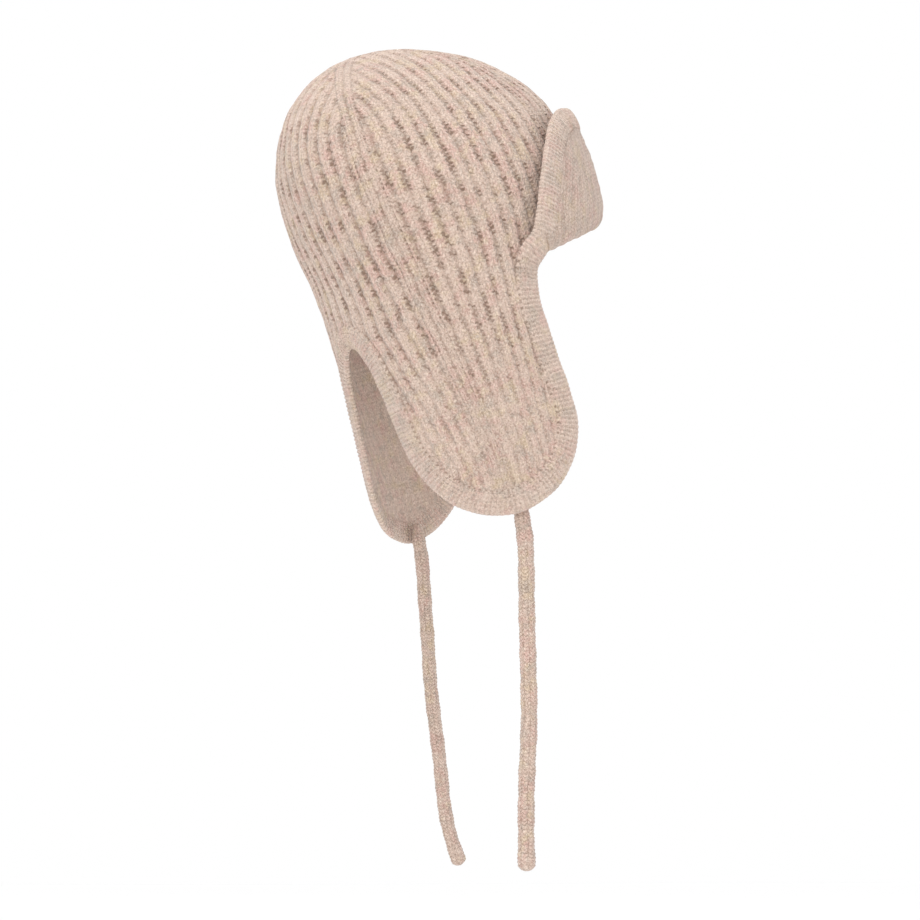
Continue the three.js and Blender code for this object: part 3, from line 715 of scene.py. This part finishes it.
place = np.arange(columns) / quarter
local = (place - np.floor(place)) * 2 - 1
sway = unevenness(place[None, :] * 9, travelled[:, None] * 45) * RIB_SWAY
sway = sway * np.clip(travelled / 0.08, 0, 1)[:, None]
share = (place / 2 - 0.75)[None, :] + sway
share = np.where(share > 1, share - 2, np.where(share <= -1, share + 2, share))
turn = turn_at(gathered(share, down[:, None]), down)
depth = np.broadcast_to(down[:, None], turn.shape)
lumps = unevenness(place[None, :] * 14, travelled[:, None] * 110) * CLOTH_LUMP
fading = 1 + FURROW_FADING * unevenness(place[None, :] * 31, travelled[:, None] * 130)
sink = rib_sink(local[None, :] * ribs_left[:, None], ribs_left[:, None])
flatter = 1 - FLAP_FLATTER * np.clip((down - CROWN_DEPTH) / FLATTER_LENGTH, 0, 1)[:, None]
outer = cloth_point(turn, depth, lumps - RIB_RELIEF * sink * fading * flatter)
outer[0] = cloth_point(0.0, 0.0, 0.0)
inner = cloth_point(turn[::2, ::BLOCK_COLUMNS], depth[::2, ::BLOCK_COLUMNS], -WALL)
inner[0] = cloth_point(0.0, 0.0, -WALL)
block_turn = turn[1:-1:2, BLOCK_COLUMNS // 2::BLOCK_COLUMNS]
kept = is_inside(hood_outline(), block_turn, np.broadcast_to(down[1:-1:2, None], block_turn.shape))


def outer_at(row, column):
    """Number of a point of the outside. The first row is one point, the top."""
    return 0 if row == 0 else row * columns + column % columns


def inner_at(row, block):
    """Number of a point of the inside, which has one row and column for each block."""
    return rows * columns + (0 if row == 0 else row * blocks_round + block % blocks_round)


def stitch_at(row, column, right):
    """Rib and course at a face's corner. right is 1 for the corners on the face's right side."""
    across = ((column - right) % quarter + right) / quarter * 2 - 1
    return across * ribs_left[row], travelled[row] / COURSE


faces, uvs, inside = [], [], []
for block_row, block in zip(*np.nonzero(kept)):
    top, left = 2 * block_row, BLOCK_COLUMNS * block
    bottom, right = top + 2, left + BLOCK_COLUMNS
    for row in (top, top + 1):
        for column in range(left, right):
            corners = [
                (row, column, 0),
                (row + 1, column, 0),
                (row + 1, column + 1, 1),
                (row, column + 1, 1),
            ]
            if row == 0:
                corners = corners[:3]
            faces.append([outer_at(r, c) for r, c, _ in corners])
            uvs.extend(stitch_at(*corner) for corner in corners)
            inside.append(0)
    corners = [
        (block_row, block, 0),
        (block_row, block + 1, 1),
        (block_row + 1, block + 1, 1),
        (block_row + 1, block, 0),
    ]
    if block_row == 0:
        corners = corners[1:]
    faces.append([inner_at(r, c) for r, c, _ in corners])
    uvs.extend(stitch_at(2 * r, BLOCK_COLUMNS * c, side) for r, c, side in corners)
    inside.append(1)
    below_kept = block_row + 1 < blocks_down and kept[block_row + 1, block]
    above_kept = block_row == 0 or kept[block_row - 1, block]
    right_kept = kept[block_row, (block + 1) % blocks_round]
    upright, level = range(top, bottom + 1), range(left, right + 1)
    edges = [
        (kept[block_row, block - 1], [(r, left) for r in upright], (0, 0), (1, 0)),
        (below_kept, [(bottom, c) for c in level], (1, 0), (1, 1)),
        (right_kept, [(r, right) for r in upright[::-1]], (1, 1), (0, 1)),
        (above_kept, [(top, c) for c in level[::-1]], (0, 1), (0, 0)),
    ]
    for neighbour_kept, chain, start, end in edges:
        if not neighbour_kept:
            rim = [outer_at(r, c) for r, c in chain[::-1]]
            rim += [inner_at(block_row + below, block + beside) for below, beside in (start, end)]
            faces.append(rim)
            uvs.extend([stitch_at(top, left, 0)] * len(rim))
            inside.append(1)


def draw_hood(place, rib, course):
    """Ribs with painted shade in each furrow, in the holes beside it and between the stitches,
    eased off at the top and at the ends of the flaps.
    """
    ribs_left = rib.node("ShaderNodeAttribute", {"attribute_name": "ribs_left"}, output=2)
    wander = place.noise(260, 3, 0.65) - 0.5
    fading = place.noise(70, 3, 0.6).rise(0.36, 0.62)
    # Share of painted shade taken away near the top of the crown and at the ends of the flaps
    shade_easing = course.rise(*FLAP_SHADE_EASING_COURSES) * FLAP_SHADE_EASING
    shade_easing = shade_easing + (1 - course.rise(*CROWN_SHADE_EASING_COURSES)) * CROWN_SHADE_EASING
    from_line = (ribs_left - abs(rib)) / LINE_RIB
    on_line = from_line < 1
    phase = (rib + wander * 0.3).rest() * (1 - on_line) + from_line * on_line
    off_middle = abs(phase - 0.5) * 2
    course = course + wander * 1.8
    knit = stitches(phase * 2, course)
    which_side = (0.5 - phase).rise(-0.05, 0.05)
    hole = 1 - abs((course + which_side * 0.5).rest() - 0.5) * 2
    random = (course + which_side * 0.5).chance(rib * 2 + 0.5)
    beside_middle = off_middle.rise(0.42, 0.68) * (1 - off_middle.rise(0.84, 1.0) * 0.6)
    open_hole = hole.rise(0.25, 0.75) * random.rise(0.0, 0.8) * beside_middle
    furrow = off_middle.rise(0.3, 1.0)
    strength = (0.3 + 0.7 * fading) * (1 - 0.25 * on_line) * (1 - shade_easing * (1 - 0.4 * on_line))
    # Painted shade: in the furrows, in the holes beside them and between the stitches
    shadow = furrow * FURROW_SHADE * strength + open_hole * HOLE_SHADE * strength
    shadow = shadow + (1 - knit).rise(0.4, 1.0) * (0.11 + 0.22 * random) * (1 - shade_easing)
    return (knit - open_hole) * YARN_HEIGHT, shadow.least(DARKEST_SHADE)


def draw_inside(place, rib, course):
    """The same ribs seen from inside, worn flat, with painted shade in their hollows and furrows."""
    wander = place.noise(190, 2, 0.6) - 0.5
    knit = stitches(rib * 2 + 0.5 + wander * 0.2, course + wander)
    furrow = abs((rib + wander * 0.1).rest() - 0.5).rise(0.3, 0.0)
    # Painted shade in the hollows between stitches and in the furrows
    return (knit - furrow) * YARN_HEIGHT, (1 - knit).rise(0.45, 1.0) * 0.1 + furrow * 0.09


rib_knit = knit_material("rib_knit", draw_hood)
rib_inside = knit_material("rib_knit_inside", draw_inside)
hood_points = np.vstack([worn(outer).reshape(-1, 3), worn(inner).reshape(-1, 3)])
hood = cloth_object("hood_knit", hood_points, faces, uvs, rib_knit)
hood.data.materials.append(rib_inside)
hood.data.polygons.foreach_set("material_index", np.array(inside, np.int32))
levels = np.concatenate([np.repeat(ribs_left, columns), np.repeat(ribs_left[::2], blocks_round)])
rib_counts = hood.data.attributes.new("ribs_left", "FLOAT", "POINT")
rib_counts.data.foreach_set("value", levels.astype(np.float32))
close_and_face_out(hood)
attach(hood, "root")
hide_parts("crown_shell")

# Front peak: the hood's knitting carried on past the brow, folded up outwards and standing off
# the crown with the wrong side of its ribs outwards.
PEAK_WALL = 0.0038
PEAK_COLUMNS = 260
ROOT_ROWS = 4
ROOT_OVERLAP = 0.006
FOLD_ROWS = 22
FOLD_SAG = 0.0024
FOLD_ROUND = 0.016
FOLD_TUCK = 0.0042
RISE_ROWS = 50
PEAK_RIB = 0.0105
PEAK_RELIEF = 0.0003
PEAK_LUMP = 0.0006
PURL_HEIGHT = 0.0005
PURL_SHADE = 0.32
VALLEY_SHADE = 0.25
# Even painted shade over the whole peak, which faces away from the light
PEAK_SHADE = 0.13
RELIEF_START = 0.01
RELIEF_END = 0.08


def top_up(turn):
    """Height of the peak's top edge at a turn."""
    edge = PEAK_EDGE[TOP_EDGE_START:][::-1]
    return np.interp(np.abs(turn), edge[:, 0], edge[:, 1])


def edge_turn(up):
    """The turn that the peak's side edge has reached at a height."""
    edge = PEAK_EDGE[:TOP_EDGE_START + 1]
    return np.interp(up, edge[:, 1], edge[:, 0])


def peak_middle():
    """Middle of the peak's wall, from its root in the brow round the fold and up to its top."""
    column = np.linspace(-1, 1, PEAK_COLUMNS + 1)[None, :]
    inward = 1 - column ** 6
    root_turn = column * FOLD_TURN
    root_down = brow_at(root_turn) - np.linspace(ROOT_OVERLAP, 0, ROOT_ROWS, endpoint=False)[:, None]
    angle = np.linspace(0, math.pi, FOLD_ROWS + 1)[:, None]
    middle = (PEAK_STAND_OFF - WALL / 2) / 2 - FOLD_TUCK * inward
    reach = np.where(angle < math.pi / 2, middle + WALL / 2, PEAK_STAND_OFF - middle)
    drop = FOLD_DROP - PEAK_WALL / 2 + FOLD_SAG * inward
    height = np.where(angle < math.pi / 2, drop, drop + FOLD_ROUND * inward)
    fold_below = drop - height * (1 - np.sin(angle))
    fold_turn = column * np.minimum(edge_turn((FOLD_DROP - fold_below) / PEAK_HEIGHT), FOLD_TURN)
    fold_up = (FOLD_DROP + FOLD_ROUND * inward) / PEAK_HEIGHT
    share = np.linspace(0, 1, RISE_ROWS + 1)[1:, None]
    top_turn = PEAK_EDGE[TOP_EDGE_START, 0]
    turn = edge_turn(fold_up + (top_up(column * top_turn) - fold_up) * share)
    turn = column * np.minimum(turn, FOLD_TURN)
    up = fold_up + (top_up(turn) - fold_up) * share
    return np.vstack([
        cloth_point(root_turn, root_down, -WALL / 2),
        cloth_point(fold_turn, brow_at(fold_turn) + fold_below, middle - reach * np.cos(angle)),
        cloth_point(turn, brow_at(turn) + FOLD_DROP - up * PEAK_HEIGHT, PEAK_STAND_OFF),
    ])


middle = peak_middle()
out = np.cross(np.gradient(middle, axis=1), np.gradient(middle, axis=0))
out /= np.linalg.norm(out, axis=-1, keepdims=True)
if out[-1, PEAK_COLUMNS // 2, 1] > 0:
    out = -out
steps = np.linalg.norm(np.diff(middle, axis=0), axis=-1).mean(1)
peak_travelled = np.concatenate([[0], np.cumsum(steps)])
peak_ribs = np.linspace(-1, 1, PEAK_COLUMNS + 1) * math.radians(FOLD_TURN) * FRONT_REACH / PEAK_RIB
past_root = np.clip((peak_travelled - ROOT_OVERLAP) / RELIEF_START, 0, 1)[:, None]
fade = np.clip(1.1 - peak_travelled / RELIEF_END, 0.2, 1)[:, None] * past_root
relief = np.cos(2 * math.pi * peak_ribs)[None, :] * fade * PEAK_RELIEF
peak_lumps = unevenness(peak_ribs[None, :] * 0.8, peak_travelled[:, None] * 80) * PEAK_LUMP
relief = relief + peak_lumps * past_root
face = middle + out * (PEAK_WALL / 2 + relief)[..., None]
back = middle - out * PEAK_WALL / 2
peak_rows, peak_columns = face.shape[:2]
i, j = np.meshgrid(np.arange(peak_rows - 1), np.arange(PEAK_COLUMNS), indexing="ij")
row = np.stack([i, i + 1, i + 1, i], -1).reshape(-1, 4)
column = np.stack([j, j, j + 1, j + 1], -1).reshape(-1, 4)
front_quads = row * peak_columns + column
front_uvs = np.stack([peak_ribs[column], peak_travelled[row] / COURSE], -1)
face_count = peak_rows * peak_columns
edge = list(range(peak_columns))
edge += [r * peak_columns + PEAK_COLUMNS for r in range(1, peak_rows)]
edge += [face_count - 1 - c for c in range(1, peak_columns)]
edge += [r * peak_columns for r in range(peak_rows - 2, 0, -1)]
edge_quads = [[a, b, b + face_count, a + face_count] for a, b in zip(edge, edge[1:] + edge[:1])]
quads = front_quads.tolist() + (front_quads[:, ::-1] + face_count).tolist() + edge_quads
quad_uvs = np.concatenate([front_uvs, front_uvs[:, ::-1], np.zeros((len(edge_quads), 4, 2))])


def draw_peak(place, rib, course):
    """Small purl bumps in rows, with faint valleys between the ribs, painted shade in their hollows
    and valleys, and an even painted shade over the whole peak, which faces away from the light.
    """
    wander = place.noise(200, 2, 0.6) - 0.5
    fading = place.noise(55, 2, 0.6)
    purl = stitches(rib * 3 + wander * 0.4, course * 1.15 + wander)
    valley = (rib + 0.5 + wander * 0.15).wave().rise(0.35, 1.0) * fading.rise(0.38, 0.6)
    # Painted shade in the purl hollows and valleys, and evenly over the whole peak
    shadow = (1 - purl).rise(0.4, 1.0) * PURL_SHADE + valley * VALLEY_SHADE + PEAK_SHADE
    return purl * PURL_HEIGHT, shadow


peak_knit = knit_material("peak_knit", draw_peak)
peak_points = np.vstack([worn(face).reshape(-1, 3), worn(back).reshape(-1, 3)])
peak = cloth_object("peak_flap_knit", peak_points, quads, quad_uvs, peak_knit)
close_and_face_out(peak)
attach(peak, "root")
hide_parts("front_peak")

# Edge band: a knitted strip in the same yarn, folded over and linked to the edge of the nape,
# both flaps and the peak in one closed round, with its courses standing across its length.
BAND_THICKNESS = 0.0056
PEAK_BAND_THICKNESS = 0.0044
BAND_COURSE = 0.0028
BAND_WALES = 6
BAND_SAMPLES = 5
BAND_SIDES = 36
BAND_SQUARENESS = 2.5
BAND_OUTSIDE = 1.2
BAND_INSIDE = 0.74
BAND_SLANT = 0.5
SLANTED_LENGTH = 0.2
RIDGE_SPREAD = 0.02
RIDGE_RELIEF = 0.15
RIDGE_HEIGHT = 0.0005
DOT_SHADE = 0.5
SEAM_SHADE = 0.3
DARKEST_BAND_SHADE = 0.75
# Painted light: a share of cream in the band's yarn, for its smoother yarn catching more light
BAND_PAINTED_LIGHT = 0.16
PEAK_TURN_DEPTH = 0.152
PEAK_TURN_LENGTH = 0.014

_, _, band_length = band_line(400)
band_courses = round(band_length / BAND_COURSE)
band_stations = band_courses * BAND_SAMPLES
line, run, _ = band_line(band_stations)
line_turn, line_down = place_of(line)
across_way = np.cross(run, hood_normal(line_turn, line_down))
across_way /= np.linalg.norm(across_way, axis=1)[:, None]
out_way = np.cross(across_way, run)
# The sewn side of the strip faces the crown on the flaps and the middle of the peak beyond them.
from_peak = np.clip((line_down - PEAK_TURN_DEPTH) / PEAK_TURN_LENGTH, 0, 1)
sewn_side = 2 * (3 * from_peak ** 2 - 2 * from_peak ** 3) - 1

angle = (np.arange(BAND_SIDES) + 0.5) / BAND_SIDES * 2 * math.pi
course = np.arange(band_stations) / BAND_SAMPLES
from_nape = (course * 2 / band_courses + 1) % 2 - 1
slant = BAND_SLANT * np.sin(np.clip(from_nape * band_length / 2 / SLANTED_LENGTH, -1, 1) * math.pi)
slanted = course[:, None] + slant[:, None] * np.cos(angle)
uneven = 0.7 + 0.3 * np.sin(course * 1.1) * np.sin(course * 0.49)
ridges = np.cos(2 * math.pi * slanted) * uneven[:, None]
lumps = 1 + 0.03 * np.sin(course * 0.095) * np.sin(course * 0.032 + 1.0)
lumps = lumps + 0.015 * np.sin(course * 0.81)
rounding = np.abs(np.cos(angle)) ** BAND_SQUARENESS + np.abs(np.sin(angle)) ** BAND_SQUARENESS
size = lumps[:, None] * rounding ** (-1 / BAND_SQUARENESS)
across = np.cos(angle) * (size + RIDGE_SPREAD * ridges)
fullness = np.where(np.sin(angle) < 0, BAND_INSIDE, BAND_OUTSIDE)
proud = np.sin(angle) * (size + RIDGE_RELIEF * ridges) * fullness
points = line[:, None] + (across * BAND_WIDTH / 2)[..., None] * across_way[:, None]
thickness = PEAK_BAND_THICKNESS + (BAND_THICKNESS - PEAK_BAND_THICKNESS) * (sewn_side + 1) / 2
points = points + (proud * thickness[:, None] / 2)[..., None] * out_way[:, None]
band_faces, station, side = tube_faces(band_stations, BAND_SIDES, True)
from_free_edge = across * sewn_side[:, None]
across_share = across[station % band_stations, side % BAND_SIDES]
band_uvs = np.stack([
    from_free_edge[station % band_stations, side % BAND_SIDES],
    station / BAND_SAMPLES + slant[station % band_stations] * across_share,
], -1)


def draw_band(place, to_edge, course):
    """Ridges across the strip, loops on its sewn half and a row of dots along its seam, with painted
    shade in the hollows and dots and a painted shadow line along the seam.
    """
    wander = place.noise(230, 3, 0.65) - 0.5
    fading = place.noise(90, 2, 0.6)
    warped = course + wander * 1.5
    knit = stitches(to_edge * (BAND_WALES / 2) + wander * 0.8, warped)
    ridge = warped.wave() * 0.5 + 0.5
    sewn = 1 - abs(to_edge + 0.86).rise(0.03, 0.12)
    dots = sewn * (course * 0.7 + wander * 0.8).wave().rise(-0.2, 0.7) * fading.rise(0.3, 0.5)
    random = warped.chance(to_edge * 1.5)
    looped = 1 - to_edge.rise(-0.25, 0.35)
    # Painted shade in the hollows of the loops and between the ridges
    hollows = (1 - knit).rise(0.35, 0.9) * (0.03 + 0.36 * looped * random)
    hollows = hollows + (1 - ridge).rise(0.45, 1.0) * (0.05 + 0.24 * random) * (1 - 0.5 * looped)
    # Painted shadow line where the strip is sewn to the hood
    seam = 1 - (to_edge + wander * 0.12).rise(-1.0, -0.84)
    height = knit * YARN_HEIGHT + ridge * RIDGE_HEIGHT
    shadow = hollows + dots * DOT_SHADE + seam * SEAM_SHADE
    return height, shadow.least(DARKEST_BAND_SHADE)


band_knit = knit_material("band_knit", draw_band, paler=BAND_PAINTED_LIGHT)
band = cloth_object("edge_band_knit", worn(points), band_faces.tolist(), band_uvs, band_knit)
close_and_face_out(band)
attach(band, "root")
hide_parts("edge_band")

# Floor and light: a plain pale floor well below the cords, a white surround and two large soft
# lamps, so that the knitting shows without hard shadows.
FLOOR_LEVEL = -0.62
FLOOR_SIZE = 30
WHITE = (1, 1, 1, 1)
LAMPS_AIM = Vector((0, 0, -0.15))

bpy.ops.mesh.primitive_plane_add(size=FLOOR_SIZE, location=(0, 0, FLOOR_LEVEL))
floor = bpy.context.active_object
floor.name = "floor"
bpy.ops.object.transform_apply(location=True, rotation=True, scale=True)
pale = bpy.data.materials.new("pale_floor")
pale.use_nodes = True
pale.node_tree.nodes["Principled BSDF"].inputs["Base Color"].default_value = WHITE
pale.node_tree.nodes["Principled BSDF"].inputs["Roughness"].default_value = 0.9
floor.data.materials.append(pale)
floor.select_set(False)

world = bpy.data.worlds.new("surround")
bpy.context.scene.world = world
world.use_nodes = True
world.node_tree.nodes["Background"].inputs["Color"].default_value = WHITE
world.node_tree.nodes["Background"].inputs["Strength"].default_value = 1.0
bpy.context.scene.view_settings.view_transform = "Standard"


def soft_lamp(name, place, size, watts):
    """A large square lamp that shines at the hat."""
    lamp = bpy.data.objects.new(name, bpy.data.lights.new(name, "AREA"))
    lamp.data.shape = "SQUARE"
    lamp.data.size = size
    lamp.data.energy = watts
    lamp.location = place
    lamp.rotation_euler = (LAMPS_AIM - lamp.location).to_track_quat("-Z", "Y").to_euler()
    bpy.context.scene.collection.objects.link(lamp)


soft_lamp("top_lamp", Vector((-0.6, 0.5, 1.6)), 1.2, 16)
soft_lamp("side_lamp", Vector((-1.7, 1.0, -0.2)), 1.6, 7)
